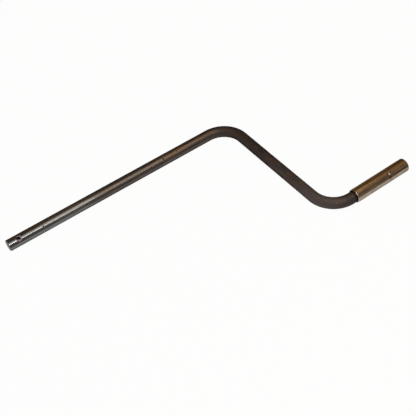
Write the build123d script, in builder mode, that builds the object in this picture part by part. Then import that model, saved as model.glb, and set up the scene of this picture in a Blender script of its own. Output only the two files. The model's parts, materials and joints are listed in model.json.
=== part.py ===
from build123d import *
from math import asin, cos, radians, sin, sqrt
import os

# A hand crank: one round steel bar, bent twice into a flat Z, with a loose tubular grip on
# its outer leg.  The grip turns on the bar and is kept there by dimples, punched through its
# wall, that run in a groove turned in the bar.
#
# The crank lies as it comes to rest, on the shaft and on the grip.  All sizes are in mm.
#   origin   where the cross hole's axis meets the shaft's axis
#   +X       along the shaft, from the drive end to the first bend
#   -Y       the way the crank throws, from the shaft's axis to the grip's
#   +Z       up


# ---------------------------------------------------------------- driving sizes

# The bar
bar_diameter = 15.875       # round bar
shaft_length = 355.6        # drive end to the first bend's corner point
crank_throw = 222.25        # shaft's axis to grip's axis
bend_radius = 34.925        # both bends, on the bar's centre line
end_chamfer = 1.0           # edges of the bar's two end faces

# The hole across the drive end
hole_diameter = 4.76        # takes a spring pin
hole_setback = 15.9         # drive end to the hole's axis
hole_clocking = 30.0        # degrees from straight up, leaning the way the crank throws
hole_chamfer = 1.7          # countersink at each mouth, measured along the wall

# The grip's tube
sleeve_wall = 1.25          # thickness
sleeve_length = 90.0        # end to end
sleeve_play = 0.3375        # radial clearance over the bar
sleeve_standoff = 5.4       # end of the second bend to the tube's inner end
sleeve_overhang = 3.0       # tube's outer end, past the end of the bar
sleeve_edge_chamfer = 0.35  # on the tube's four end edges

# The punched dimples
dimple_count = 2            # evenly spaced round the tube
dimple_setback = 57.0       # tube's inner end to the dimples' centres
dimple_clocking = 30.0      # degrees from straight up, leaning the way the crank throws
dimple_depth = 1.6          # below the tube's outer surface
punch_radius = 4.0          # ball nose of the punch
dimple_lip_round = 0.8      # where the outer surface turns down into a dimple

# The groove that the dimples run in
groove_side_play = 0.4      # clearance on each side of a dimple
groove_floor_play = 0.35    # clearance under a dimple
groove_corner_round = 0.7   # in the two corners of the groove's floor


# ---------------------------------------------------------------- sizes that follow

bar_radius = bar_diameter / 2
sleeve_bore_radius = bar_radius + sleeve_play
sleeve_radius = sleeve_bore_radius + sleeve_wall

# The grip is thicker than the shaft and both rest on the same surface, so the plane that
# holds the centre line tips up by a fraction of a degree towards the grip.
rest_lean = asin((sleeve_radius - bar_radius) / crank_throw)
crank_plane = Plane(
    origin=(0, 0, 0), x_dir=(1, 0, 0), z_dir=(0, sin(rest_lean), cos(rest_lean))
)

# Stations along X
drive_end = -hole_setback
arm_station = drive_end + shaft_length
sleeve_inner_end = arm_station + bend_radius + sleeve_standoff
sleeve_outer_end = sleeve_inner_end + sleeve_length
bar_outer_end = sleeve_outer_end - sleeve_overhang
dimple_station = sleeve_inner_end + dimple_setback

# A dimple is pressed with a ball: its outside is the ball itself, and its inside, a bump in
# the bore, is a ball larger by the wall.  Both are centred this far from the grip's axis.
punch_offset = sleeve_radius + punch_radius - dimple_depth
bump_radius = punch_radius + sleeve_wall
bump_tip_radius = punch_offset - bump_radius
bump_half_width = sqrt(bump_radius**2 - (punch_offset - bar_radius) ** 2)

groove_floor_radius = bump_tip_radius - groove_floor_play
groove_half_width = bump_half_width + groove_side_play


# ---------------------------------------------------------------- placing helpers


def on_grip_axis(station: float) -> Vector:
    """Point of the grip's axis at a station along X."""
    return crank_plane.from_local_coords(Vector(station, -crank_throw, 0))


def square_to_grip(station: float) -> Plane:
    """Plane across the grip's axis, facing the grip's outer end, with its y straight up."""
    return Plane(origin=on_grip_axis(station), x_dir=(0, 1, 0), z_dir=(1, 0, 0))


def along_grip(station: float) -> Plane:
    """Plane that holds the grip's axis, with its x along it."""
    return Plane(origin=on_grip_axis(station), x_dir=(1, 0, 0), z_dir=crank_plane.z_dir)


def leaning(clocking: float) -> Vector:
    """Unit direction across the shaft, leaning from straight up towards the throw."""
    return Vector(0, -sin(radians(clocking)), cos(radians(clocking)))


def punch_spots() -> PolarLocations:
    """Centres of the punch's ball, evenly spaced round the grip's axis."""
    straight_up = 90
    return PolarLocations(
        punch_offset, dimple_count, start_angle=straight_up + dimple_clocking
    )


# ---------------------------------------------------------------- crank_rod

with BuildPart() as crank_rod:
    # The bar follows straight legs joined by tangent bends.
    with BuildLine(crank_plane) as centre_line:
        FilletPolyline(
            (drive_end, 0),
            (arm_station, 0),
            (arm_station, -crank_throw),
            (bar_outer_end, -crank_throw),
            radius=bend_radius,
        )
    with BuildSketch(Plane(origin=centre_line.line @ 0, z_dir=(1, 0, 0))):
        Circle(bar_radius)
    sweep()

    # Sawn ends with their edges filed off
    end_faces = crank_rod.faces().filter_by(GeomType.PLANE)
    chamfer(end_faces.edges(), length=end_chamfer)

    # Retaining groove: a ring cut away round the outer leg
    with BuildSketch(along_grip(dimple_station)) as groove_section:
        with Locations((0, groove_floor_radius)):
            Rectangle(
                2 * groove_half_width,
                2 * (bar_radius - groove_floor_radius),
                align=(Align.CENTER, Align.MIN),
            )
        floor_corners = groove_section.vertices().group_by(Axis.Y)[0]
        fillet(floor_corners, radius=groove_corner_round)
    revolve(axis=Axis(on_grip_axis(dimple_station), (1, 0, 0)), mode=Mode.SUBTRACT)

    # Cross hole, countersunk where it leaves the bar on each side
    hole_outward = leaning(hole_clocking)
    with Locations(Plane(origin=hole_outward * bar_radius, z_dir=hole_outward)):
        Hole(hole_diameter / 2, depth=bar_diameter)
    mouths = crank_rod.edges(Select.LAST).filter_by(GeomType.BSPLINE)
    chamfer(mouths, length=hole_chamfer)

crank_rod.part.label = "crank_rod"


# ---------------------------------------------------------------- grip_sleeve

# The hollow of the tube: its bore, less the bumps that the dimples raise in it
with BuildPart() as sleeve_hollow:
    with BuildSketch(square_to_grip(sleeve_inner_end)):
        Circle(sleeve_bore_radius)
    extrude(amount=sleeve_length)
    with Locations(square_to_grip(dimple_station)):
        with punch_spots():
            Sphere(bump_radius, mode=Mode.SUBTRACT)

with BuildPart() as grip_sleeve:
    with BuildSketch(square_to_grip(sleeve_inner_end)):
        Circle(sleeve_radius)
    extrude(amount=sleeve_length)
    add(sleeve_hollow.part, mode=Mode.SUBTRACT)
    end_faces = grip_sleeve.faces().filter_by(GeomType.PLANE)
    chamfer(end_faces.edges(), length=sleeve_edge_chamfer)

    # Dimples, with the lip that the wall makes as it is drawn in
    with Locations(square_to_grip(dimple_station)):
        with punch_spots():
            Sphere(punch_radius, mode=Mode.SUBTRACT)
    ball_faces = grip_sleeve.faces(Select.LAST).filter_by(GeomType.SPHERE)
    fillet(ball_faces.edges(), radius=dimple_lip_round)

grip_sleeve.part.label = "grip_sleeve"


# ---------------------------------------------------------------- export

os.makedirs("parts", exist_ok=True)
export_step(crank_rod.part, "parts/crank_rod.step")
export_step(grip_sleeve.part, "parts/grip_sleeve.step")
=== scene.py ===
"""Looks of the hand crank: a bent round bar with a loose tubular grip.

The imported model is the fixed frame.  Around it this script builds the bar and the grip's tube
as fine meshes on the same sizes, gives every surface its finish, and sets up a plain studio.

All lengths are in metres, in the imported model's own frame: +X runs along the shaft towards
the first bend, -Y is the way the crank throws, and +Z is up.
"""

import json
import logging
import math
from collections.abc import Callable
from dataclasses import dataclass
from enum import Enum
from typing import NamedTuple

import bpy
import numpy as np
from mathutils import Matrix, Vector


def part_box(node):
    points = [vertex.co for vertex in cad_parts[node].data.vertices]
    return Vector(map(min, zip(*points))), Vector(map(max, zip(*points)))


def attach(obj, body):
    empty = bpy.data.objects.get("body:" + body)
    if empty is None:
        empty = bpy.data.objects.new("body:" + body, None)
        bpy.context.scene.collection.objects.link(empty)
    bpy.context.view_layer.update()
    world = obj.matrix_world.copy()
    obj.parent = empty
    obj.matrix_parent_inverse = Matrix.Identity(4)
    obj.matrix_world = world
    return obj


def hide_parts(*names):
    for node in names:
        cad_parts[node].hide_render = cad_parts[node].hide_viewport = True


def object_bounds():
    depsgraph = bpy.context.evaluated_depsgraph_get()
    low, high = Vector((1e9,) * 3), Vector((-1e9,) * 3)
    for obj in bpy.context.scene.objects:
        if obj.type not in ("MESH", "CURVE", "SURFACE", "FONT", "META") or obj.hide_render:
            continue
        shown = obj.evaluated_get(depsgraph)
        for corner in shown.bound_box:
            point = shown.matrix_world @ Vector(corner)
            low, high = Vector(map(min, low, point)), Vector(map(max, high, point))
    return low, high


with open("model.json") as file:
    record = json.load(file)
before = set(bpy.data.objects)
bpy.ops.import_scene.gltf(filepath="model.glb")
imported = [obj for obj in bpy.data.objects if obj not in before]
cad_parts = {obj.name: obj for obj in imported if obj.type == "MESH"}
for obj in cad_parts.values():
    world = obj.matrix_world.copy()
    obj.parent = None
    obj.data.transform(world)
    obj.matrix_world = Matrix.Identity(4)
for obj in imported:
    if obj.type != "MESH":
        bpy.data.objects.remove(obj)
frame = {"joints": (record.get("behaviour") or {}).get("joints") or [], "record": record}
cad_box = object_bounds()

MM = 0.001
BAR_SPACE = "bar_space"  # attribute: station on the bar or X on the tube, then across and up
DENTED = "dented"  # attribute: how far the skin is dented, 0 to 1
log = logging.getLogger("crank")

Socket = bpy.types.NodeSocket
Colour = tuple[float, float, float, float]
Point = tuple[float, float, float]
Range = tuple[float, float]  # where something is still 0 and where it has reached 1
Marks = tuple[float, float, float, float]  # where it leaves 0, reaches 1, leaves 1, reaches 0


# ---- shader graph helpers


class Kind(Enum):
    """What a node group's socket carries."""

    VALUE = "NodeSocketFloat"
    VECTOR = "NodeSocketVector"
    COLOUR = "NodeSocketColor"


class Graph:
    """Adds nodes to one node tree and links them.

    What goes into a node is either a plain value or another node's output socket.
    """

    def __init__(self, tree: bpy.types.NodeTree) -> None:
        """Starts on the tree that the nodes go into."""
        self.tree = tree

    def add(self, kind: str, inputs: dict | None = None, **settings: object) -> bpy.types.Node:
        """Adds a node.

        Args:
            kind: The node's type, without the "ShaderNode" in front.
            inputs: What goes into its inputs, by their names or numbers.
            **settings: The node's own properties.

        Returns:
            The new node.
        """
        node = self.tree.nodes.new("ShaderNode" + kind)
        for name, value in settings.items():
            setattr(node, name, value)
        for name, value in (inputs or {}).items():
            if isinstance(value, Socket):
                self.tree.links.new(value, node.inputs[name])
            else:
                node.inputs[name].default_value = value
        return node

    def maths(self, operation: str, *terms: object) -> Socket:
        """Adds a Math node for an operation such as "SUBTRACT", and gives its result."""
        return self.add("Math", dict(enumerate(terms)), operation=operation).outputs[0]

    def times(self, first: object, second: object) -> Socket:
        """Multiplies two values."""
        return self.maths("MULTIPLY", first, second)

    def add_scaled(self, value: object, share: object, base: object) -> Socket:
        """Adds a share of a value to a base."""
        return self.maths("MULTIPLY_ADD", value, share, base)

    def ease(self, value: object, low: object, high: object) -> Socket:
        """Turns a value into a mask that goes smoothly from 0 at low to 1 at high."""
        inputs = {"Value": value, "From Min": low, "From Max": high}
        return self.add("MapRange", inputs, interpolation_type="SMOOTHSTEP").outputs["Result"]

    def span(self, mask: object, low: float, high: float) -> Socket:
        """Spreads a mask, so that it goes from low where it is 0 to high where it is 1."""
        inputs = {"Value": mask, "To Min": low, "To Max": high}
        return self.add("MapRange", inputs).outputs["Result"]

    def between(self, value: object, marks: Marks) -> Socket:
        """Turns a value into a mask that is 1 over a stretch and eases to 0 on both sides."""
        rise, fall = self.ease(value, *marks[:2]), self.ease(value, *marks[:1:-1])
        return self.times(rise, fall)

    def blend(self, mask: object, under: object, over: object) -> Socket:
        """Mixes two colours.

        Args:
            mask: 0 where the lower one shows, and 1 where the upper one does.
            under: The lower colour.
            over: The upper colour.

        Returns:
            The mixed colour.
        """
        factor, lower, upper, mixed = 0, 6, 7, 2  # a Mix node's sockets for colours
        inputs = {factor: mask, lower: under, upper: over}
        return self.add("Mix", inputs, data_type="RGBA").outputs[mixed]

    def vectors(self, operation: str, *terms: object) -> bpy.types.Node:
        """Adds a Vector Math node for an operation such as "DISTANCE"."""
        return self.add("VectorMath", dict(enumerate(terms)), operation=operation)

    def stretched(self, place: object, along: object, across: object) -> Socket:
        """Scales a place by one scale along its first axis and by another across it."""
        scale = self.add("CombineXYZ", {0: along, 1: across, 2: across}).outputs[0]
        return self.vectors("MULTIPLY", place, scale).outputs[0]

    def scaled(self, place: object, scale: object) -> Socket:
        """Scales a place evenly."""
        return self.stretched(place, scale, scale)

    def noise(self, place: object, detail: float, roughness: float) -> Socket:
        """Adds noise of about 0 to 1, for a place that is scaled already."""
        inputs = {"Vector": place, "Scale": 1.0, "Detail": detail, "Roughness": roughness}
        return self.add("TexNoise", inputs).outputs[0]


def make_group(
    name: str,
    ports_in: dict[str, Kind],
    ports_out: dict[str, Kind],
    fill: Callable[[Graph, dict], dict],
) -> bpy.types.NodeTree:
    """Builds a shader node group.

    Args:
        name: The group's name.
        ports_in: What each of its inputs carries.
        ports_out: What each of its outputs carries.
        fill: Adds the inner nodes. It is given a graph and the inputs by name, and returns the
            outputs by name.

    Returns:
        The group.
    """
    tree = bpy.data.node_groups.new(name, "ShaderNodeTree")
    for ports, side in ((ports_in, "INPUT"), (ports_out, "OUTPUT")):
        for port, kind in ports.items():
            tree.interface.new_socket(port, in_out=side, socket_type=kind.value)
    entry = tree.nodes.new("NodeGroupInput")
    leave = tree.nodes.new("NodeGroupOutput")
    results = fill(Graph(tree), {port: entry.outputs[port] for port in ports_in})
    for port, socket in results.items():
        tree.links.new(socket, leave.inputs[port])
    return tree


class SurfaceEffects:
    """The effects that the finishes share, each a node group that is built once.

    Each of the private methods adds one group's nodes: it takes the group's graph and its inputs
    by name, and returns its outputs by name.
    """

    def __init__(self) -> None:
        """Builds the groups."""
        value, vector, colour = Kind.VALUE, Kind.VECTOR, Kind.COLOUR
        self.grain = make_group(
            "drawn_grain",
            {"Place": vector, "Along": value, "Across": value},
            {"Streaks": value},
            self._grain,
        )
        tones = {"Ground": colour, "Cloud": colour, "Speck": colour}
        self.patina = make_group(
            "patina",
            {"Place": vector, "Cloud Scale": value, "Speck Scale": value, **tones},
            {"Colour": colour, "Clouds": value, "Specks": value},
            self._patina,
        )
        self.wear = make_group(
            "rubbed_bright",
            {"Rubbed": value, "Streaks": value, "Clouds": value, "Most": value},
            {"Bright": value},
            self._wear,
        )
        self.pits = make_group(
            "pitted_skin",
            {"Place": vector, "Streaks": value, "Pit Scale": value, "Streak Share": value},
            {"Height": value},
            self._pits,
        )

    @staticmethod
    def _grain(graph: Graph, ports: dict) -> dict:
        """Adds the fine streaks that drawing leaves along a bar or a tube.

        Args:
            graph: The group's graph.
            ports: The place and the scales of the streaks along and across it.

        Returns:
            The streaks, as a mask.
        """
        place = graph.stretched(ports["Place"], ports["Along"], ports["Across"])
        streaks = graph.noise(place, detail=5.0, roughness=0.62)
        return {"Streaks": graph.ease(streaks, low=0.3, high=0.7)}

    @staticmethod
    def _patina(graph: Graph, ports: dict) -> dict:
        """Adds a skin of three tones: a ground, broad clouds over it and small specks.

        Args:
            graph: The group's graph.
            ports: The place, the scales of clouds and specks, and the three tones.

        Returns:
            The skin's colour, and the clouds and the specks as masks.
        """
        drawn_out = (0.45, 1.0, 1.0)  # the clouds are longer along the bar than across it
        broad = graph.scaled(ports["Place"], ports["Cloud Scale"])
        broad = graph.vectors("MULTIPLY", broad, drawn_out).outputs[0]
        clouds = graph.noise(broad, detail=4.0, roughness=0.55)
        clouds = graph.ease(clouds, low=0.36, high=0.66)
        fine = graph.scaled(ports["Place"], ports["Speck Scale"])
        specks = graph.noise(fine, detail=3.0, roughness=0.6)
        specks = graph.ease(specks, low=0.56, high=0.74)
        colour = graph.blend(clouds, ports["Ground"], ports["Cloud"])
        colour = graph.blend(specks, colour, ports["Speck"])
        return {"Colour": colour, "Clouds": clouds, "Specks": specks}

    @staticmethod
    def _wear(graph: Graph, ports: dict) -> dict:
        """Adds a mask of metal rubbed bright, broken up by the streaks and the clouds.

        Args:
            graph: The group's graph.
            ports: Masks of where it is rubbed, of streaks and of clouds, and the mask's peak.

        Returns:
            The mask.
        """
        streak_share, cloud_share = 0.55, 0.3
        broken = graph.add_scaled(ports["Streaks"], streak_share, ports["Rubbed"])
        broken = graph.maths("SUBTRACT", broken, graph.times(ports["Clouds"], cloud_share))
        return {"Bright": graph.times(graph.ease(broken, low=0.35, high=1.15), ports["Most"])}

    @staticmethod
    def _pits(graph: Graph, ports: dict) -> dict:
        """Adds the height of a skin with shallow pits under the streaks.

        Args:
            graph: The group's graph.
            ports: The place, the streaks, the scale of the pits and the streaks' share.

        Returns:
            The height.
        """
        pits = graph.noise(graph.scaled(ports["Place"], ports["Pit Scale"]), detail=4.0, roughness=0.55)
        pits = graph.ease(pits, low=0.42, high=0.6)
        streaks = graph.times(ports["Streaks"], ports["Streak Share"])
        return {"Height": graph.maths("ADD", pits, streaks)}


# ---- finishes


@dataclass(frozen=True)
class Patina:
    """Tones and scales of a skin with broad clouds and small specks."""

    ground: Colour | Socket
    cloud: Colour | Socket
    speck: Colour
    cloud_scale: float
    speck_scale: float


@dataclass(frozen=True)
class Relief:
    """Fine relief of a skin with pits under drawn streaks."""

    strength: float
    depth: float
    pit_scale: float
    streak_share: float


class MaterialGraph(Graph):
    """The node tree of a new material."""

    def __init__(self, name: str) -> None:
        """Makes a material without nodes.

        Args:
            name: The material's name.
        """
        self.material = bpy.data.materials.new(name)
        self.material.use_nodes = True
        super().__init__(self.material.node_tree)
        self.tree.nodes.clear()

    def close(self, kind: str, inputs: dict) -> bpy.types.Material:
        """Leads a last shader to the material's output, and gives the finished material."""
        self.add("OutputMaterial", {0: self.add(kind, inputs).outputs[0]})
        return self.material


class WallGraph(MaterialGraph):
    """The node tree of a material on the bar or the tube, with places and shared effects.

    What it calls the station is X on the tube, which doesn't bend.
    """

    def __init__(self, name: str, effects: SurfaceEffects) -> None:
        """Makes a material that reads where it is along, across and up from the axis.

        Args:
            name: The material's name.
            effects: The effects that the finishes share.
        """
        super().__init__(name)
        self.effects = effects
        self.place = self.add("Attribute", attribute_name=BAR_SPACE).outputs["Vector"]
        self.station, self.across, self.up = self.add("SeparateXYZ", {0: self.place}).outputs

    def dented(self) -> Socket:
        """Reads how far the skin is dented."""
        return self.add("Attribute", attribute_name=DENTED).outputs["Fac"]

    def turn(self) -> Socket:
        """Works out the angle round the bar, from straight up towards the inner side."""
        return self.maths("ARCTAN2", self.across, self.up)

    def distance(self, spot: Point) -> Socket:
        """Measures the distance from a spot."""
        return self.vectors("DISTANCE", self.place, spot).outputs["Value"]

    def use(self, group: bpy.types.NodeTree, **inputs: object) -> bpy.types.bpy_prop_collection:
        """Adds a shared effect.

        Args:
            group: The effect's node group.
            **inputs: What goes into its inputs, with cloud_scale for "Cloud Scale" and so on.

        Returns:
            Its outputs, by name.
        """
        named = {name.replace("_", " ").title(): value for name, value in inputs.items()}
        return self.add("Group", named, node_tree=group).outputs

    def streaks(self, along: float, across: float) -> Socket:
        """Lays fine streaks over the wall, of some scale along it and across it."""
        return self.use(self.effects.grain, place=self.place, along=along, across=across)["Streaks"]

    def skin(self, patina: Patina) -> bpy.types.bpy_prop_collection:
        """Lays a skin of three tones over the wall, and gives its "Colour", "Clouds" and "Specks"."""
        return self.use(self.effects.patina, place=self.place, **vars(patina))

    def rubbed(self, where: object, streaks: Socket, clouds: Socket, most: float) -> Socket:
        """Makes a mask of rubbed metal, which streaks let shine and clouds hide, up to a peak."""
        masks = {"rubbed": where, "streaks": streaks, "clouds": clouds}
        return self.use(self.effects.wear, **masks, most=most)["Bright"]

    def bump(self, strength: float, depth: float, height: Socket) -> Socket:
        """Turns a height into a normal."""
        inputs = {"Strength": strength, "Distance": depth, "Height": height}
        return self.add("Bump", inputs).outputs[0]

    def relief(self, relief: Relief, streaks: Socket) -> Socket:
        """Gives the wall its pits and streaks, as a normal."""
        height = self.use(
            self.effects.pits,
            place=self.place,
            streaks=streaks,
            pit_scale=relief.pit_scale,
            streak_share=relief.streak_share,
        )["Height"]
        return self.bump(relief.strength, relief.depth, height)


@dataclass(frozen=True)
class OiledBarFinish:
    """Dark oiled skin of a drawn bar, brown in places, with warm light painted on the upper side of the
    shaft, and rubbed grey where it was handled.

    The runs are ranges of stations along the bar. One that runs backwards fades towards the
    grip.
    """

    effects: SurfaceEffects
    grip_station: float
    oiled: Patina = Patina(
        ground=(0.095, 0.087, 0.086, 1.0),
        cloud=(0.128, 0.110, 0.104, 1.0),
        speck=(0.180, 0.125, 0.085, 1.0),
        cloud_scale=75.0,
        speck_scale=420.0,
    )
    crust: Patina = Patina(
        ground=(0.070, 0.068, 0.072, 1.0),
        cloud=(0.118, 0.086, 0.074, 1.0),
        speck=(0.150, 0.135, 0.125, 1.0),
        cloud_scale=130.0,
        speck_scale=700.0,
    )
    # painted warm light: this brown on the shaft's upper side stands for a warm lamp above
    browned: Colour = (0.138, 0.094, 0.064, 1.0)
    steel: Colour = (0.174, 0.180, 0.186, 1.0)
    # soot on the crust, and painted shade towards the grip and in the nicks
    grime: Colour = (0.020, 0.015, 0.012, 1.0)
    dust: Colour = (0.150, 0.136, 0.140, 1.0)
    edge_tone: Colour = (0.05, 0.05, 0.05, 1.0)
    streak_scales: tuple[float, float] = (45.0, 900.0)
    rubbed_run: Range = (0.165, 0.085)
    rubbed_most: float = 0.95
    polished_run: Range = (0.085, 0.025)
    polish: float = 0.11
    rubbed_polish: float = 0.04
    brown_run: Range = (0.18, 0.26)
    brown_side: Range = (0.0025, 0.0060)
    brown_clouds: tuple[float, float] = (0.2, 0.7)
    crust_run: Range = (0.29, 0.37)
    crust_roughness: float = 0.34
    soot_run: Range = (0.47, 0.42)
    soot: float = 0.30
    dust_marks: Marks = (0.485, 0.530, 0.550, 0.580)
    dust_share: float = 0.68
    # how far the painted shade reaches out of the grip, and how dented a nick must be to take it
    grime_reach: float = 0.006
    dent_grime: Range = (0.15, 0.9)
    roughness: tuple[float, float] = (0.31, 0.38)
    metallic: tuple[float, float] = (0.80, 0.95)
    relief: Relief = Relief(strength=0.055, depth=0.00012, pit_scale=520.0, streak_share=0.5)

    def build(self) -> bpy.types.Material:
        """Builds the finish.

        Returns:
            The material.
        """
        graph = WallGraph("oiled_bar", self.effects)
        station = graph.station
        streaks = graph.streaks(*self.streak_scales)
        skin, crust = graph.skin(self.oiled), graph.skin(self.crust)
        clouds = skin["Clouds"]
        handled = graph.ease(station, *self.rubbed_run)
        bright = graph.rubbed(handled, streaks, clouds, self.rubbed_most)
        crusted = graph.ease(station, *self.crust_run)

        # The oiled skin, warm light painted on its upper side, the crust and the metal that is rubbed
        # bright
        brown = graph.times(
            graph.ease(station, *self.brown_run), graph.ease(graph.up, *self.brown_side)
        )
        brown = graph.times(brown, graph.span(clouds, *self.brown_clouds))
        colour = graph.blend(brown, skin["Colour"], self.browned)
        colour = graph.blend(crusted, colour, crust["Colour"])
        colour = graph.blend(bright, colour, self.steel)

        # Soot on the crust, dust on the second bend, and painted shade towards the grip and in the
        # nicks
        sooty = graph.times(crusted, graph.ease(station, *self.soot_run))
        colour = graph.blend(graph.times(sooty, self.soot), colour, self.grime)
        dusty = graph.times(graph.between(station, self.dust_marks), self.dust_share)
        colour = graph.blend(dusty, colour, self.dust)
        painted_shade = graph.ease(station, self.grip_station - self.grime_reach, self.grip_station)
        painted_shade = graph.maths("MAXIMUM", painted_shade, graph.ease(graph.dented(), *self.dent_grime))
        colour = graph.blend(painted_shade, colour, self.grime)

        polished = graph.ease(station, *self.polished_run)
        rough = graph.add_scaled(
            crusted, self.crust_roughness, graph.span(clouds, *self.roughness)
        )
        smooth = graph.add_scaled(
            polished, self.polish, graph.span(bright, 0.0, self.rubbed_polish)
        )
        return graph.close(
            "BsdfPrincipled",
            {
                "Base Color": colour,
                "Metallic": graph.span(graph.maths("SUBTRACT", bright, crusted), *self.metallic),
                "Roughness": graph.maths("SUBTRACT", rough, smooth),
                "Specular IOR Level": 0.0,
                "Specular Tint": self.edge_tone,
                "Normal": graph.relief(self.relief, streaks),
            },
        )


@dataclass(frozen=True)
class BronzedTubeFinish:
    """Golden-brown skin of the grip's tube, semi-gloss and handled.

    The dimple and the dark patch are places along X, across and up from the tube's axis. The seam is
    a painted highlight line with a painted shade line beside it, at angles round the tube.
    """

    effects: SurfaceEffects
    dimple: Point
    # a darker violet patch beside the dimple
    smudge: Point
    bronzed: Patina = Patina(
        ground=(0.330, 0.258, 0.195, 1.0),
        cloud=(0.480, 0.432, 0.355, 1.0),
        speck=(0.240, 0.160, 0.105, 1.0),
        cloud_scale=150.0,
        speck_scale=380.0,
    )
    rubbed: Colour = (0.47, 0.42, 0.35, 1.0)
    edge_tone: Colour = (0.44, 0.41, 0.37, 1.0)
    sunk: Colour = (0.380, 0.325, 0.290, 1.0)
    # painted shade on the dimple's outer side
    dimple_grime: Colour = (0.105, 0.075, 0.055, 1.0)
    smudged: Colour = (0.150, 0.112, 0.125, 1.0)
    # the seam's painted highlight line and painted shade line
    seam_pale: Colour = (0.80, 0.56, 0.42, 1.0)
    seam_dark: Colour = (0.13, 0.080, 0.062, 1.0)
    streak_scales: tuple[float, float] = (60.0, 1100.0)
    rubbed_share: float = 0.25
    rubbed_most: float = 0.4
    age_run: float = 0.040
    outer_age: float = 0.34
    seam_turn: float = math.radians(45.0)
    seam_pale_marks: Marks = (-0.10, -0.04, 0.03, 0.08)
    seam_dark_marks: Marks = (0.11, 0.17, 0.25, 0.32)
    seam_run: Range = (0.0036, 0.0090)
    smudge_reach: Range = (0.0044, 0.0012)
    smudge_share: float = 0.8
    sunk_dent: Range = (0.1, 0.8)
    grime_side: Range = (0.0013, 0.0025)
    grime_reach: Range = (0.0045, 0.0036)
    roughness: tuple[float, float] = (0.22, 0.17)
    dent_roughness: float = 0.22
    metallic: tuple[float, float] = (1.0, 0.7)
    relief: Relief = Relief(strength=0.07, depth=0.0001, pit_scale=600.0, streak_share=0.6)

    def build(self) -> bpy.types.Material:
        """Builds the finish.

        Returns:
            The material.
        """
        graph = WallGraph("bronzed_tube", self.effects)
        station = graph.station
        streaks, dented = graph.streaks(*self.streak_scales), graph.dented()
        skin = graph.skin(self.bronzed)
        clouds = skin["Clouds"]
        bright = graph.rubbed(self.rubbed_share, streaks, clouds, self.rubbed_most)
        colour = graph.blend(bright, skin["Colour"], self.rubbed)
        older = graph.ease(station, self.smudge[0] - self.age_run, self.smudge[0])
        colour = graph.blend(graph.times(older, self.outer_age), colour, self.bronzed.speck)

        # The seam, a painted highlight line with a painted shade line beside it, shows only past the
        # dark patch.
        turn = graph.maths("SUBTRACT", graph.turn(), self.seam_turn)
        run = graph.ease(station, *(self.smudge[0] + past for past in self.seam_run))
        pale, dark = (self.seam_pale, self.seam_pale_marks), (self.seam_dark, self.seam_dark_marks)
        for tone, marks in (pale, dark):
            colour = graph.blend(graph.times(run, graph.between(turn, marks)), colour, tone)
        # A darker violet patch beside the dimple, towards the tube's lower side
        dark_patch_mask = graph.ease(graph.distance(self.smudge), *self.smudge_reach)
        colour = graph.blend(graph.times(dark_patch_mask, self.smudge_share), colour, self.smudged)

        # The dimple is paler, with painted shade on its outer side.
        colour = graph.blend(graph.ease(dented, *self.sunk_dent), colour, self.sunk)
        past = graph.maths("SUBTRACT", station, self.dimple[0])
        painted_shade = graph.times(
            graph.ease(past, *self.grime_side),
            graph.ease(graph.distance(self.dimple), *self.grime_reach),
        )
        return graph.close(
            "BsdfPrincipled",
            {
                "Base Color": graph.blend(painted_shade, colour, self.dimple_grime),
                "Metallic": graph.span(skin["Specks"], *self.metallic),
                "Roughness": graph.add_scaled(
                    dented, self.dent_roughness, graph.span(clouds, *self.roughness)
                ),
                "Specular Tint": self.edge_tone,
                "Normal": graph.relief(self.relief, streaks),
            },
        )


@dataclass(frozen=True)
class CutSteelFinish:
    """Bare steel where a saw or a drill cut through the skin, and painted shade inside the cross hole.

    The painted shade's edge is a distance from the bar's axis, which the skews shift along the shaft
    and down its side, since the shade isn't even round the hole's mouth.
    """

    effects: SurfaceEffects
    hole_station: float
    clocking: float
    sawn: Patina = Patina(
        ground=(0.38, 0.37, 0.43, 1.0),
        cloud=(0.23, 0.215, 0.245, 1.0),
        speck=(0.16, 0.125, 0.12, 1.0),
        cloud_scale=260.0,
        speck_scale=900.0,
    )
    aged: Colour = (0.12, 0.11, 0.12, 1.0)
    # painted shade inside the cross hole
    hollow: Colour = (0.012, 0.010, 0.009, 1.0)
    mark_scales: tuple[float, float] = (2600.0, 500.0)
    mark_strength: float = 0.3
    mark_depth: float = 0.00005
    hollow_edge: Range = (0.0066, 0.0056)
    skew_along: float = 0.22
    skew_down: float = 0.36
    past_end: Range = (0.0030, 0.0045)
    at_end: Range = (0.0030, 0.0015)
    metallic: float = 0.25
    roughness: float = 0.4
    hollow_roughness: float = 0.3
    gloss: float = 0.5

    def build(self) -> bpy.types.Material:
        """Builds the finish.

        Returns:
            The material.
        """
        graph = WallGraph("cut_steel", self.effects)
        marks = graph.streaks(*self.mark_scales)
        spread = graph.add("CombineXYZ", {1: graph.across, 2: graph.up}).outputs[0]
        from_axis = graph.vectors("LENGTH", spread).outputs["Value"]
        past = graph.maths("SUBTRACT", graph.station, self.hole_station)
        below = graph.times(graph.across, math.cos(self.clocking))
        below = graph.add_scaled(graph.up, -math.sin(self.clocking), below)
        level = graph.add_scaled(past, self.skew_along, from_axis)
        level = graph.add_scaled(below, self.skew_down, level)
        # Painted shade inside the cross hole: near black, rougher and without gloss
        inside = graph.times(
            graph.ease(level, *self.hollow_edge), graph.ease(graph.station, *self.past_end)
        )
        at_end = graph.ease(graph.station, *self.at_end)
        colour = graph.blend(at_end, graph.skin(self.sawn)["Colour"], self.aged)
        return graph.close(
            "BsdfPrincipled",
            {
                "Base Color": graph.blend(inside, colour, self.hollow),
                "Metallic": self.metallic,
                "Roughness": graph.add_scaled(inside, self.hollow_roughness, self.roughness),
                "Specular IOR Level": graph.span(inside, self.gloss, 0.0),
                "Normal": graph.bump(self.mark_strength, self.mark_depth, marks),
            },
        )


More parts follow.
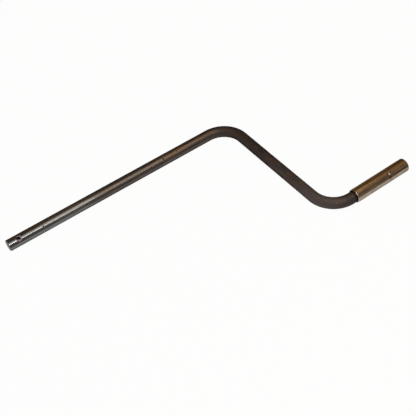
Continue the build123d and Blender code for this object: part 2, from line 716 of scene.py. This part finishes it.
@dataclass(frozen=True)
class FiledRimFinish:
    """Metal of the tube's cut end, rounded over with a file.

    Round the tube, its tone follows where the lamps catch the rounded edge: from brown over dull to a
    painted highlight and back to dull.
    """

    effects: SurfaceEffects
    # painted highlight, where the lamps catch the rounded edge
    bright: Colour = (1.0, 0.93, 0.91, 1.0)
    dull: Colour = (0.47, 0.42, 0.40, 1.0)
    browned: Colour = (0.17, 0.11, 0.075, 1.0)
    stain: Colour = (0.36, 0.28, 0.24, 1.0)
    bright_turns: Marks = (0.22, 0.34, 0.60, 0.80)
    cloud_scale: float = 240.0
    speck_scale: float = 800.0
    metallic: float = 0.85
    roughness: float = 0.3

    def build(self) -> bpy.types.Material:
        """Builds the finish.

        Returns:
            The material.
        """
        graph = WallGraph("filed_rim", self.effects)
        turn = graph.turn()
        # Tone round the rim, painted after where the lamps catch it
        tone = graph.blend(graph.ease(turn, *self.bright_turns[:2]), self.browned, self.dull)
        tone = graph.blend(graph.between(turn, self.bright_turns), tone, self.bright)
        filed = Patina(tone, tone, self.stain, self.cloud_scale, self.speck_scale)
        return graph.close(
            "BsdfPrincipled",
            {
                "Base Color": graph.skin(filed)["Colour"],
                "Metallic": self.metallic,
                "Roughness": self.roughness,
            },
        )


# ---- the crank's layout


@dataclass(frozen=True)
class CentreLine:
    """The bar's centre line: three straight legs joined by two square bends, in one plane.

    Along it, a place is a station measured from the drive end. Across it, an angle is measured
    from the plane's upper side towards the inside of the first bend.
    """

    start_x: float
    arm_x: float
    end_x: float
    throw: float
    lean: float
    bend_radius: float

    @property
    def spans(self) -> tuple[float, float, float, float, float]:
        """Lengths of the line's five spans.

        Returns:
            The lengths of shaft, first bend, arm, second bend and outer leg.
        """
        bend = self.bend_radius * math.pi / 2
        shaft = self.arm_x - self.bend_radius - self.start_x
        outer = self.end_x - self.arm_x - self.bend_radius
        return shaft, bend, self.throw - 2 * self.bend_radius, bend, outer

    @property
    def length(self) -> float:
        """Length of the whole line."""
        return sum(self.spans)

    @property
    def down_throw(self) -> np.ndarray:
        """Unit direction from the shaft's axis to the grip's."""
        return np.array((0.0, -math.cos(self.lean), math.sin(self.lean)))

    @property
    def upward(self) -> np.ndarray:
        """Unit direction square to the plane of the bends."""
        return np.array((0.0, math.sin(self.lean), math.cos(self.lean)))

    def on_shaft(self, x: float) -> float:
        """Finds the station of a place on the shaft, from its distance past the cross hole."""
        return x - self.start_x

    def on_arm(self, throw: float) -> float:
        """Finds the station of a place on the arm, from its distance off the shaft's axis."""
        shaft, bend, _, _, _ = self.spans
        return shaft + bend + throw - self.bend_radius

    def on_outer_leg(self, x: float) -> float:
        """Finds the station of a place on the outer leg, from its distance past the hole."""
        return self.length - (self.end_x - x)

    def follow(self, stations: np.ndarray) -> tuple[np.ndarray, np.ndarray]:
        """Finds points of the line and the direction across the line at each.

        Args:
            stations: Distances from the drive end.

        Returns:
            The points, and unit vectors in the plane of the bends, square to the line.
        """
        r = self.bend_radius
        shaft, bend, arm, _, _ = self.spans
        first = np.clip(stations - shaft, 0, bend) / r
        second = np.clip(stations - shaft - bend - arm, 0, bend) / r
        on_shaft = np.minimum(stations, shaft)
        on_arm = np.clip(stations - shaft - bend, 0, arm)
        on_outer = np.maximum(stations - shaft - 2 * bend - arm, 0)
        along_x = self.start_x + on_shaft + r * np.sin(first) + r * (1 - np.cos(second)) + on_outer
        along_throw = r * (1 - np.cos(first)) + on_arm + r * np.sin(second)
        turn = first - second
        points = np.outer(along_x, (1.0, 0.0, 0.0)) + np.outer(along_throw, self.down_throw)
        sides = np.outer(-np.sin(turn), (1.0, 0.0, 0.0)) + np.outer(np.cos(turn), self.down_throw)
        return points, sides

    def straighten(self, points: np.ndarray) -> np.ndarray:
        """Finds where points would be if the bar were straight.

        Args:
            points: Points in the frame of the crank.

        Returns:
            For each, its station, its distance across in the plane of the bends, and its
            height over that plane.
        """
        r = self.bend_radius
        shaft, bend, arm, _, _ = self.spans
        x, w, up = points[:, 0], points @ self.down_throw, points @ self.upward
        first_x, second_x = self.arm_x - r, self.arm_x + r
        corner = self.throw - r
        on_each_span = [
            (x < first_x) & (w < r),
            (x >= first_x) & (w < r) & (x < second_x),
            (w >= r) & (w < corner),
            (x < second_x) & (w >= corner),
        ]
        stations = [
            x - self.start_x,
            shaft + r * np.arctan2(x - first_x, r - w),
            shaft + bend + w - r,
            shaft + bend + arm + r * np.arctan2(w - corner, second_x - x),
        ]
        across = [
            w,
            r - np.hypot(x - first_x, r - w),
            self.arm_x - x,
            np.hypot(w - corner, second_x - x) - r,
        ]
        station = np.select(on_each_span, stations, shaft + 2 * bend + arm + x - second_x)
        return np.stack((station, np.select(on_each_span, across, w - self.throw), up), axis=1)


@dataclass(frozen=True)
class Dimples:
    """The punched dimples that keep the grip on the bar, and the groove that they run in."""

    count: int = 2
    setback: float = 57.0 * MM
    clocking: float = math.radians(30.0)
    depth: float = 1.6 * MM
    punch_radius: float = 4.0 * MM
    lip_ease: float = 0.28 * MM
    groove_side_play: float = 0.4 * MM
    groove_floor_play: float = 0.35 * MM
    groove_corner: float = 0.7 * MM


@dataclass(frozen=True)
class CrankLayout:
    """Where everything is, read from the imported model."""

    line: CentreLine
    bar_radius: float
    end_chamfer: float
    hole_axis: Vector
    hole_radius: float
    grip_start: float
    grip_end: float
    grip_axis: Vector
    grip_radius: float
    floor: float

    @classmethod
    def from_frame(
        cls, end_chamfer: float = 1.0 * MM, bend_radius: float = 34.925 * MM
    ) -> "CrankLayout":
        """Reads the layout.

        Args:
            end_chamfer: Chamfer on the bar's two ends.
            bend_radius: Radius of both bends, on the centre line.

        Returns:
            The layout.
        """
        mounts = {mount["name"]: mount for mount in frame["record"]["mounts"]}
        shaft, hole = mounts["drive_shaft"], mounts["cross_hole"]
        bar_low, bar_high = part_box("crank_rod")
        tube_low, tube_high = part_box("grip_sleeve")
        grip_axis = Vector(frame["joints"][0]["pos_m"])
        line = CentreLine(
            start_x=bar_low.x,
            arm_x=bar_low.x + end_chamfer + shaft["dims"]["length_mm"] * MM + bend_radius,
            end_x=bar_high.x,
            throw=math.hypot(grip_axis.y, grip_axis.z),
            lean=math.atan2(grip_axis.z, -grip_axis.y),
            bend_radius=bend_radius,
        )
        return cls(
            line=line,
            bar_radius=shaft["dims"]["r_mm"] * MM,
            end_chamfer=end_chamfer,
            hole_axis=Vector(hole["axis"]).normalized(),
            hole_radius=hole["dims"]["r_mm"] * MM,
            grip_start=tube_low.x,
            grip_end=tube_high.x,
            grip_axis=grip_axis,
            grip_radius=tube_high.z - grip_axis.z,
            floor=cad_box[0].z,
        )

    @property
    def hole_clocking(self) -> float:
        """Angle of the cross hole's axis from straight up towards the throw."""
        return math.atan2(-self.hole_axis.y, self.hole_axis.z)


# ---- mesh helpers


class Slot(Enum):
    """Which of a piece's materials a face has."""

    SKIN = 0
    CUT = 1


class Row(NamedTuple):
    """One ring of a wall: its place along it, its radius, and the material of the next band."""

    place: float
    radius: float
    slot: Slot


def full_turn(sides: int) -> np.ndarray:
    """Lists evenly spaced angles of a full turn."""
    return np.linspace(0, 2 * math.pi, sides, endpoint=False)


def angle_from(turns: np.ndarray, turn: float) -> np.ndarray:
    """Measures angles from one of them, between half a turn back and half a turn on."""
    return (turns - turn + math.pi) % (2 * math.pi) - math.pi


def spokes(turns: np.ndarray, upward: np.ndarray, side: np.ndarray) -> np.ndarray:
    """Lists unit directions at angles from one direction towards another square to it."""
    return np.outer(np.cos(turns), upward) + np.outer(np.sin(turns), side)


def link(name: str, data: bpy.types.ID) -> bpy.types.Object:
    """Makes an object and links it to the scene.

    Args:
        name: The object's name.
        data: Its mesh, lamp or camera.

    Returns:
        The object.
    """
    made = bpy.data.objects.new(name, data)
    bpy.context.scene.collection.objects.link(made)
    return made


def lathe(
    rings: list[np.ndarray], slots: list[Slot], closed_ends: bool, name: str
) -> bpy.types.Object:
    """Joins rings of points into a tube-like mesh.

    Args:
        rings: Rings of equally many points, in order.
        slots: The material of each band between two rings, and for an open shape of the band
            from the last ring back to the first.
        closed_ends: Whether the first and last rings are closed with faces. Otherwise the last
            ring is joined to the first.
        name: The object's name.

    Returns:
        The object.
    """
    count = len(rings[0])
    turn = np.arange(count)
    onward = (turn + 1) % count
    faces, indices = [], []
    bands = len(rings) - 1 if closed_ends else len(rings)
    for band in range(bands):
        low, high = band * count, ((band + 1) % len(rings)) * count
        quads = np.stack((low + turn, low + onward, high + onward, high + turn), axis=1)
        faces.extend(quads.tolist())
        indices.extend([slots[band].value] * count)
    if closed_ends:
        faces.append(turn[::-1].tolist())
        faces.append((turn + (len(rings) - 1) * count).tolist())
        indices.extend([Slot.CUT.value] * 2)
    mesh = bpy.data.meshes.new(name)
    mesh.from_pydata(np.concatenate(rings).tolist(), [], faces)
    for _ in Slot:
        mesh.materials.append(None)
    mesh.polygons.foreach_set("material_index", indices)
    mesh.update()
    return link(name, mesh)


def vertex_places(mesh: bpy.types.Mesh) -> np.ndarray:
    """Reads a mesh's vertices.

    Args:
        mesh: The mesh.

    Returns:
        An array of points.
    """
    flat = np.empty(len(mesh.vertices) * 3, np.float32)
    mesh.vertices.foreach_get("co", flat)
    return flat.reshape(-1, 3).astype(float)


def finish_mesh(mesh: bpy.types.Mesh, places: np.ndarray, dented: np.ndarray) -> None:
    """Shades a mesh smooth between its creases, and stores what the finishes read.

    Args:
        mesh: The mesh.
        places: Each vertex's place along, across and up from the axis.
        dented: How far the skin is dented at each vertex, cut off at 0 and 1.
    """
    attribute = mesh.attributes.new(BAR_SPACE, "FLOAT_VECTOR", "POINT")
    attribute.data.foreach_set("vector", places.astype(np.float32).ravel())
    attribute = mesh.attributes.new(DENTED, "FLOAT", "POINT")
    attribute.data.foreach_set("value", np.clip(dented, 0, 1).astype(np.float32))
    crease = math.radians(28.0)
    mesh.shade_smooth()
    mesh.set_sharp_from_angle(angle=crease)


def coat(made: bpy.types.Object, skin: bpy.types.Material, cut: bpy.types.Material) -> None:
    """Puts a piece's two materials into their slots."""
    for slot, material in zip(Slot, (skin, cut)):
        made.data.materials[slot.value] = material


# ---- pieces


@dataclass(frozen=True)
class Nick:
    """A small dent in the bar's skin."""

    station: float
    turn: float
    half_length: float
    half_width: float
    depth: float
    margin: float = 0.2 * MM
    rings: int = 9


def handling_nicks(line: CentreLine) -> tuple[Nick, ...]:
    """Lists the nicks that handling has left in the shaft and the arm."""
    return (
        Nick(line.on_shaft(0.0352), math.radians(41), 0.9 * MM, 2.6 * MM, 0.34 * MM),
        Nick(line.on_shaft(0.2255), math.radians(31), 1.0 * MM, 2.8 * MM, 0.36 * MM),
        Nick(line.on_shaft(0.2490), math.radians(24), 1.5 * MM, 1.6 * MM, 0.25 * MM),
        Nick(line.on_arm(0.093), math.radians(-50), 3.0 * MM, 3.0 * MM, 0.60 * MM),
        Nick(line.on_arm(0.100), math.radians(84), 3.0 * MM, 3.0 * MM, 0.60 * MM),
    )


@dataclass(frozen=True)
class BentBar:
    """The bar: drive shaft, arm and outer leg in one piece."""

    layout: CrankLayout
    dimples: Dimples
    wall_behind_dimple: float
    nicks: tuple[Nick, ...]
    sides: int = 96
    ring_spacing: float = 1.0 * MM
    end_face_rings: tuple[float, ...] = (0.25, 0.5, 0.75)  # shares of the radius
    corner_rings: int = 6
    full_dent: float = 0.25 * MM
    countersink: float = 1.7 * MM
    hole_sides: int = 64
    bore_rings: int = 13
    drill_past_wall: float = 1.3  # how far the cone goes on, as a share of the countersink
    drill_tip: float = 0.02 * MM

    def outline(self) -> list[Row]:
        """Lists the rings of the whole bar.

        Returns:
            Rings from the drive end to the outer end, by their stations.
        """
        radius, length = self.layout.bar_radius, self.layout.line.length
        chamfer = self.layout.end_chamfer
        face = [Row(0.0, radius * share, Slot.CUT) for share in self.end_face_rings]
        start = [*face, Row(0.0, radius - chamfer, Slot.CUT), Row(chamfer, radius, Slot.SKIN)]
        low, high = self._groove_walls()
        wall = self._wall(chamfer, low[0].place)
        outer = self._wall(high[-1].place, length - chamfer)
        finish = [Row(length - s, r, Slot.CUT) for s, r, _ in reversed(start)]
        return [*start, *wall, *low, *high, *outer, *finish]

    def _wall(self, start: float, stop: float) -> list[Row]:
        """Lists the rings of a plain length of bar, closer together at its nicks.

        Args:
            start: Station where it begins.
            stop: Station where it ends.

        Returns:
            The rings between the two.
        """
        count = max(2, round((stop - start) / self.ring_spacing))
        stations = np.linspace(start, stop, count + 1)[1:-1]
        for nick in self.nicks:
            low, high = nick.station - nick.half_length, nick.station + nick.half_length
            if start < low and high < stop:
                near = (low - nick.margin < stations) & (stations < high + nick.margin)
                stations = np.append(stations[~near], np.linspace(low, high, nick.rings))
        return [Row(station, self.layout.bar_radius, Slot.SKIN) for station in np.sort(stations)]

    def _groove_walls(self) -> tuple[list[Row], list[Row]]:
        """Lists the rings of the groove's two walls, each with its rounded floor corner.

        Returns:
            The wall towards the arm, and the one towards the outer end.
        """
        layout, dimples = self.layout, self.dimples
        bump = dimples.punch_radius + self.wall_behind_dimple
        offset = layout.grip_radius + dimples.punch_radius - dimples.depth
        floor = offset - bump - dimples.groove_floor_play
        reach = math.sqrt(bump**2 - (offset - layout.bar_radius) ** 2)
        half = reach + dimples.groove_side_play
        corner = dimples.groove_corner
        centre = layout.line.on_outer_leg(layout.grip_start + dimples.setback)
        low = [Row(centre - half, layout.bar_radius, Slot.CUT)]
        for angle in np.linspace(0.0, math.pi / 2, self.corner_rings):
            station = centre - half + corner * (1 - math.cos(angle))
            low.append(Row(station, floor + corner * (1 - math.sin(angle)), Slot.CUT))
        high = [Row(2 * centre - s, r, Slot.CUT) for s, r, _ in reversed(low)]
        high[-1] = high[-1]._replace(slot=Slot.SKIN)
        return low, high

    def dent(self, stations: np.ndarray, turns: np.ndarray) -> np.ndarray:
        """Works out how deep the skin is dented.

        Args:
            stations: Station of each point.
            turns: Angle of each point round the bar.

        Returns:
            Depth below the plain bar.
        """
        depth = np.zeros_like(stations)
        for nick in self.nicks:
            away = angle_from(turns, nick.turn) * self.layout.bar_radius
            reach = ((stations - nick.station) / nick.half_length) ** 2
            reach = reach + (away / nick.half_width) ** 2
            depth += nick.depth * np.clip(1 - reach, 0, 1) ** 2
        return depth

    def rings(self, rows: list[Row]) -> list[np.ndarray]:
        """Bends the rings of an outline round the centre line.

        Args:
            rows: The outline.

        Returns:
            Each ring's points.
        """
        stations = np.array([row.place for row in rows])
        centres, across = self.layout.line.follow(stations)
        turns = full_turn(self.sides)
        rings = []
        for row, centre, side in zip(rows, centres, across):
            reach = row.radius - self.dent(np.full(self.sides, row.place), turns)
            rings.append(centre + spokes(turns, self.layout.line.upward, side) * reach[:, None])
        return rings

    def drill(self) -> bpy.types.Object:
        """Builds the shape that the cross hole and its two countersinks remove.

        Returns:
            The shape: a bore with a cone on each end, closed past the bar's wall.
        """
        radius, hole = self.layout.bar_radius, self.layout.hole_radius
        along = Vector((1.0, 0.0, 0.0))
        axis = self.layout.hole_axis
        across = axis.cross(along)
        turns = full_turn(self.hole_sides)

        def surface(reach: float) -> np.ndarray:
            """Height of the bar's wall over its axis, round a circle about the hole."""
            return np.sqrt(radius**2 - (reach * np.sin(turns)) ** 2)

        clear = self.drill_past_wall
        low = surface(hole) - self.countersink
        rise = surface(hole + self.countersink) - low
        tip = (self.drill_tip, low + 2 * clear * rise)
        cone = (hole + clear * self.countersink, low + clear * rise)
        bore = [(hole, low * share) for share in np.linspace(1, -1, self.bore_rings)]
        lower = [(reach, -height) for reach, height in (cone, tip)]
        rings = []
        for reach, height in [tip, cone, *bore, *lower]:
            flat = np.outer(np.cos(turns) * reach, along) + np.outer(np.sin(turns) * reach, across)
            rings.append(flat + np.outer(height, axis))
        return lathe(rings[::-1], [Slot.CUT] * len(rings), True, "drill")

    def build(self) -> bpy.types.Object:
        """Builds the bar.

        Returns:
            The bar, with its cross hole cut and no finish yet.
        """
        rows = self.outline()
        made = lathe(self.rings(rows), [row.slot for row in rows], True, "bent_bar")
        drill = self.drill()
        cut = made.modifiers.new("cross_hole", "BOOLEAN")
        cut.operation, cut.solver, cut.object = "DIFFERENCE", "EXACT", drill
        depsgraph = bpy.context.evaluated_depsgraph_get()
        mesh = bpy.data.meshes.new_from_object(made.evaluated_get(depsgraph))
        made.modifiers.clear()
        made.data = mesh
        mesh.name = made.name
        bpy.data.objects.remove(drill)
        places = self.layout.line.straighten(vertex_places(mesh))
        turns = np.arctan2(places[:, 1], places[:, 2])
        finish_mesh(mesh, places, self.dent(places[:, 0], turns) / self.full_dent)
        return made

    def dress(
        self, made: bpy.types.Object, skin: bpy.types.Material, cut: bpy.types.Material
    ) -> None:
        """Gives the bar its finishes, and lets it stand for its solid.

        Args:
            made: The bar.
            skin: Finish of its drawn wall.
            cut: Finish of its sawn ends, its groove and its hole.
        """
        coat(made, skin, cut)
        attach(made, "crank")
        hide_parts("crank_rod")


@dataclass(frozen=True)
class GripTube:
    """The loose tube that the hand holds, with its punched dimples."""

    layout: CrankLayout
    dimples: Dimples
    wall: float = 1.25 * MM
    edge: float = 0.75 * MM
    inner_edge: float = 0.25 * MM
    edge_steps: int = 6
    full_dent: float = 0.14 * MM
    sides: int = 192
    ring_spacing: float = 0.6 * MM
    fine_spacing: float = 0.22 * MM
    fine_reach: float = 5.0 * MM

    def beside_dimple(self, turn: float, along: float) -> Point:
        """Finds a place on the tube's outside near the first dimple.

        Args:
            turn: Angle past the dimple, round the tube.
            along: Distance past the dimple, along the tube.

        Returns:
            Its place along X, across and up from the tube's axis.
        """
        angle, radius = self.dimples.clocking + turn, self.layout.grip_radius
        x = self.layout.grip_start + self.dimples.setback + along
        return x, radius * math.sin(angle), radius * math.cos(angle)

    def stations(self, edge: float) -> list[float]:
        """Lists the rings' places along one side of the wall, closer together at the dimples.

        Args:
            edge: How far the wall's edges are rounded off.

        Returns:
            Places along X.
        """
        low, high = self.layout.grip_start + edge, self.layout.grip_end - edge
        middle = self.layout.grip_start + self.dimples.setback
        marks = (low, middle - self.fine_reach, middle + self.fine_reach, high)
        steps = (self.ring_spacing, self.fine_spacing, self.ring_spacing)
        places = []
        for start, stop, step in zip(marks, marks[1:], steps):
            count = max(1, round((stop - start) / step))
            places += np.linspace(start, stop, count, endpoint=False).tolist()
        return [*places, high]

    def wall_radius(self, outside: bool) -> float:
        """Finds the radius of the tube's outside or of its bore."""
        return self.layout.grip_radius if outside else self.layout.grip_radius - self.wall

    def rounded(self, end: float, facing: int, outside: bool, slot: Slot) -> list[Row]:
        """Lists the rings of a rounded edge, from the end face to the wall.

        Args:
            end: The end face's place along X.
            facing: 1 where the tube goes on towards +X from the end face, -1 where towards -X.
            outside: Whether it is the edge of the outside or of the bore.
            slot: The edge's material.

        Returns:
            The rings.
        """
        size, inward = (self.edge, -1) if outside else (self.inner_edge, 1)
        rows = []
        for angle in np.linspace(0, math.pi / 2, self.edge_steps, endpoint=False):
            x = end + facing * size * (1 - math.cos(angle))
            radius = self.wall_radius(outside) + inward * size * (1 - math.sin(angle))
            rows.append(Row(x, radius, slot))
        return rows

    def profile(self) -> list[Row]:
        """Lists the rings of the whole tube.

        Returns:
            Rings from the inner end along the outside, and back along the bore.
        """
        start, stop = self.layout.grip_start, self.layout.grip_end
        skin = [Row(x, self.wall_radius(True), Slot.SKIN) for x in self.stations(self.edge)]
        bore = [Row(x, self.wall_radius(False), Slot.SKIN) for x in self.stations(self.inner_edge)]
        bore[0] = bore[0]._replace(slot=Slot.CUT)
        return [
            *self.rounded(start, 1, outside=True, slot=Slot.CUT),
            *skin,
            *self.rounded(stop, -1, outside=True, slot=Slot.SKIN)[::-1],
            *self.rounded(stop, -1, outside=False, slot=Slot.CUT),
            *bore[::-1],
            *self.rounded(start, 1, outside=False, slot=Slot.CUT)[::-1],
        ]

    def sink(self, x: float, turns: np.ndarray, outside: bool) -> np.ndarray:
        """Works out how far the wall is punched in.

        Args:
            x: The ring's place along the tube.
            turns: Angles round the tube.
            outside: Whether the ring is on the tube's outside or in its bore.

        Returns:
            Depth below the plain wall.
        """
        dimples = self.dimples
        ball = dimples.punch_radius if outside else dimples.punch_radius + self.wall
        offset = self.layout.grip_radius + dimples.punch_radius - dimples.depth
        away_x = x - self.layout.grip_start - dimples.setback
        depth = np.zeros_like(turns)
        for number in range(dimples.count):
            away = angle_from(turns, dimples.clocking + 2 * math.pi * number / dimples.count)
            inside = ball**2 - away_x**2 - (offset * np.sin(away)) ** 2
            near = offset * np.cos(away) - np.sqrt(np.clip(inside, 0, None))
            facing = (inside > 0) & (np.abs(away) < math.pi / 2)
            cut = np.where(facing, self.wall_radius(outside) - near, -dimples.lip_ease)
            share = np.clip(0.5 + 0.5 * cut / dimples.lip_ease, 0, 1)
            depth += share * cut + dimples.lip_ease * share * (1 - share)
        return depth

    def build(self) -> bpy.types.Object:
        """Builds the tube.

        Returns:
            The tube, with no finish yet.
        """
        rows = self.profile()
        turns = full_turn(self.sides)
        upward, across = self.layout.line.upward, self.layout.line.down_throw
        outward = spokes(turns, upward, across)
        axis = np.array((0.0, self.layout.grip_axis.y, self.layout.grip_axis.z))
        mid_wall = self.layout.grip_radius - self.wall / 2
        rings, depths = [], []
        for x, radius, _ in rows:
            depth = self.sink(x, turns, outside=radius > mid_wall)
            rings.append(axis + (x, 0.0, 0.0) + outward * (radius - depth)[:, None])
            depths.append(depth)
        made = lathe(rings, [row.slot for row in rows], False, "grip_tube")
        off = vertex_places(made.data) - axis
        places = np.stack((off[:, 0], off @ across, off @ upward), axis=1)
        finish_mesh(made.data, places, np.concatenate(depths) / self.full_dent)
        return made

    def dress(
        self, made: bpy.types.Object, skin: bpy.types.Material, cut: bpy.types.Material
    ) -> None:
        """Gives the tube its finishes, and lets it stand for its solid.

        Args:
            made: The tube.
            skin: Finish of its outside and its bore.
            cut: Finish of its cut ends.
        """
        coat(made, skin, cut)
        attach(made, "grip")
        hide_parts("grip_sleeve")


# ---- studio


@dataclass(frozen=True)
class SoftLamp:
    """A rectangular soft light that faces a point."""

    name: str
    place: Point
    target: Point
    size: tuple[float, float]
    watts: float
    tint: tuple[float, float, float]

    def build(self) -> None:
        """Builds the lamp."""
        data = bpy.data.lights.new(self.name, "AREA")
        data.shape, data.energy, data.color = "RECTANGLE", self.watts, self.tint
        data.size, data.size_y = self.size
        made = link(self.name, data)
        made.location = self.place
        facing = Vector(self.target) - Vector(self.place)
        made.rotation_euler = facing.to_track_quat("-Z", "Y").to_euler()


@dataclass(frozen=True)
class StudioCamera:
    """The camera, placed by its direction from the crank's middle. Its angles are in degrees."""

    azimuth: float = -30.70
    elevation: float = 47.39
    roll: float = -6.99
    distance: float = 1.0461
    lens: float = 68.72
    aim_off: Point = (-0.0040, -0.0012, -0.0028)

    def build(self) -> None:
        """Builds the camera and makes it the scene's."""
        turn, rise, roll = (math.radians(a) for a in (self.azimuth, self.elevation, self.roll))
        level = math.cos(rise)
        back = Vector((math.sin(turn) * level, -math.cos(turn) * level, math.sin(rise)))
        aim = (cad_box[0] + cad_box[1]) / 2 + Vector(self.aim_off)
        right = (-back).cross(Vector((0.0, 0.0, 1.0))).normalized()
        above = right.cross(-back)
        across = right * math.cos(roll) + above * math.sin(roll)
        upright = above * math.cos(roll) - right * math.sin(roll)
        data = bpy.data.cameras.new("studio_camera")
        data.lens = self.lens
        made = link("studio_camera", data)
        turned = Matrix((across, upright, back)).transposed().to_4x4()
        made.matrix_world = Matrix.Translation(aim + back * self.distance) @ turned
        bpy.context.scene.camera = made


@dataclass(frozen=True)
class Studio:
    """A pale floor, soft lamps, and a dim room that is beige in front and brown behind.

    To the camera the floor is nearly white, but for its own shadow in a strip behind the shaft,
    which shows through the cross hole. Metal mirrors the floor darker at flat angles.
    """

    floor_height: float
    floor_reach: float = 40.0
    floor_tone: Colour = (0.9, 0.9, 0.9, 1.0)
    fibre_tone: Colour = (0.92, 0.92, 0.92, 1.0)
    fibre_scale: float = 900.0
    white: Colour = (1.0, 1.0, 1.0, 1.0)
    whitening: float = 0.965
    mirrored_whitening: float = 0.8
    flat_tone: Colour = (0.235, 0.205, 0.175, 1.0)
    flat_facing: Range = (0.55, 0.9)
    shade_x: Marks = (-0.010, -0.004, 0.24, 0.30)
    shade_y: Marks = (-0.001, 0.001, 0.012, 0.017)
    front_tone: Colour = (0.21, 0.165, 0.125, 1.0)
    back_tone: Colour = (0.178, 0.098, 0.040, 1.0)
    back_from: Range = (-0.85, -0.10)
    lamps: tuple[SoftLamp, ...] = (
        SoftLamp("key", (0.05, -0.77, 1.02), (0.0, -0.08, 0.0), (0.26, 0.30), 2.8, (0.97, 0.99, 1.0)),
        SoftLamp("window", (-0.52, 0.36, 0.36), (0.34, -0.12, 0.0), (0.6, 0.4), 2.0, (0.96, 0.97, 1.0)),
        SoftLamp("side", (0.45, -0.77, 1.02), (0.12, -0.08, 0.0), (0.4, 0.4), 2.2, (1.0, 0.97, 0.86)),
        SoftLamp("ceiling", (0.61, -0.24, 1.24), (0.25, -0.08, 0.0), (0.7, 0.5), 3.0, (1.0, 0.8, 0.54)),
        SoftLamp("overhead", (0.25, -0.30, 1.22), (0.05, -0.08, 0.0), (0.5, 0.5), 0.8, (0.8, 0.9, 1.0)),
        SoftLamp("lobby", (1.20, -0.27, 1.20), (0.42, -0.22, 0.0), (1.2, 0.5), 0.45, (1.0, 0.75, 0.36)),
    )

    def floor_material(self) -> bpy.types.Material:
        """Builds the floor's pale paper.

        Returns:
            The material.
        """
        graph = MaterialGraph("pale_paper")
        place = graph.add("TexCoord").outputs["Object"]
        fibre = graph.noise(graph.scaled(place, self.fibre_scale), detail=3.0, roughness=0.6)
        tone = graph.blend(graph.span(fibre, 0.0, 1.0), self.floor_tone, self.fibre_tone)
        paper = graph.add("BsdfDiffuse", {"Color": tone})

        rays = graph.add("LightPath").outputs
        mirrored = graph.maths("MAXIMUM", rays["Is Glossy Ray"], rays["Is Transmission Ray"])
        facing = graph.add("LayerWeight", {"Blend": 0.5}).outputs["Facing"]
        flat = graph.times(mirrored, graph.ease(facing, *self.flat_facing))
        shown = graph.blend(flat, self.white, self.flat_tone)
        glow = graph.add("Emission", {"Color": shown, "Strength": 1.0})

        x, y, _ = graph.add("SeparateXYZ", {0: place}).outputs
        shaded = graph.times(graph.between(x, self.shade_x), graph.between(y, self.shade_y))
        lit = graph.maths("SUBTRACT", rays["Is Camera Ray"], shaded)
        share = graph.maths(
            "MAXIMUM",
            graph.times(lit, self.whitening),
            graph.times(mirrored, self.mirrored_whitening),
        )
        return graph.close("MixShader", {0: share, 1: paper.outputs[0], 2: glow.outputs[0]})

    def build_floor(self) -> None:
        """Builds the floor."""
        reach, height = self.floor_reach, self.floor_height
        corners = [(x * reach, y * reach, height) for x, y in ((-1, -1), (1, -1), (1, 1), (-1, 1))]
        mesh = bpy.data.meshes.new("floor")
        mesh.from_pydata(corners, [], [(0, 1, 2, 3)])
        mesh.materials.append(self.floor_material())
        made = link("floor", mesh)

    def build_room(self) -> None:
        """Sets the light that comes from the room all round."""
        world = bpy.data.worlds.new("room")
        world.use_nodes = True
        graph = Graph(world.node_tree)
        around = graph.add("TexCoord").outputs["Generated"]
        depth = graph.add("SeparateXYZ", {0: around}).outputs[1]
        tone = graph.blend(graph.ease(depth, *self.back_from), self.front_tone, self.back_tone)
        backdrop = world.node_tree.nodes["Background"]
        world.node_tree.links.new(tone, backdrop.inputs["Color"])
        bpy.context.scene.world = world

    def build(self) -> None:
        """Builds the floor, the room and the lamps."""
        self.build_floor()
        self.build_room()
        for lamp in self.lamps:
            lamp.build()
        bpy.context.scene.view_settings.view_transform = "Standard"


# ---- the whole scene


def report(made: bpy.types.Object) -> None:
    """Reports a piece's size and number of faces."""
    size = ", ".join(f"{side / MM:.1f}" for side in made.dimensions)
    log.info("%s: %s mm, %d faces", made.name, size, len(made.data.polygons))


def main() -> None:
    """Builds the crank, its finishes and the studio, and writes how large it came out."""
    logging.basicConfig(level=logging.INFO, format="%(name)s %(message)s")
    layout, dimples, effects = CrankLayout.from_frame(), Dimples(), SurfaceEffects()
    line = layout.line
    tube = GripTube(layout, dimples)

    bar = BentBar(layout, dimples, wall_behind_dimple=tube.wall, nicks=handling_nicks(line))
    made_bar = bar.build()
    skin = OiledBarFinish(effects, line.on_outer_leg(layout.grip_start)).build()
    cut = CutSteelFinish(effects, line.on_shaft(0.0), layout.hole_clocking).build()
    bar.dress(made_bar, skin, cut)
    report(made_bar)

    made_tube = tube.build()
    dimple = tube.beside_dimple(turn=0.0, along=0.0)
    # a darker violet patch beside the dimple
    smudge = tube.beside_dimple(turn=math.radians(34), along=-0.6 * MM)
    skin = BronzedTubeFinish(effects, dimple, smudge).build()
    tube.dress(made_tube, skin, FiledRimFinish(effects).build())
    report(made_tube)

    Studio(floor_height=layout.floor).build()
    StudioCamera().build()


if __name__ == "__main__":
    main()
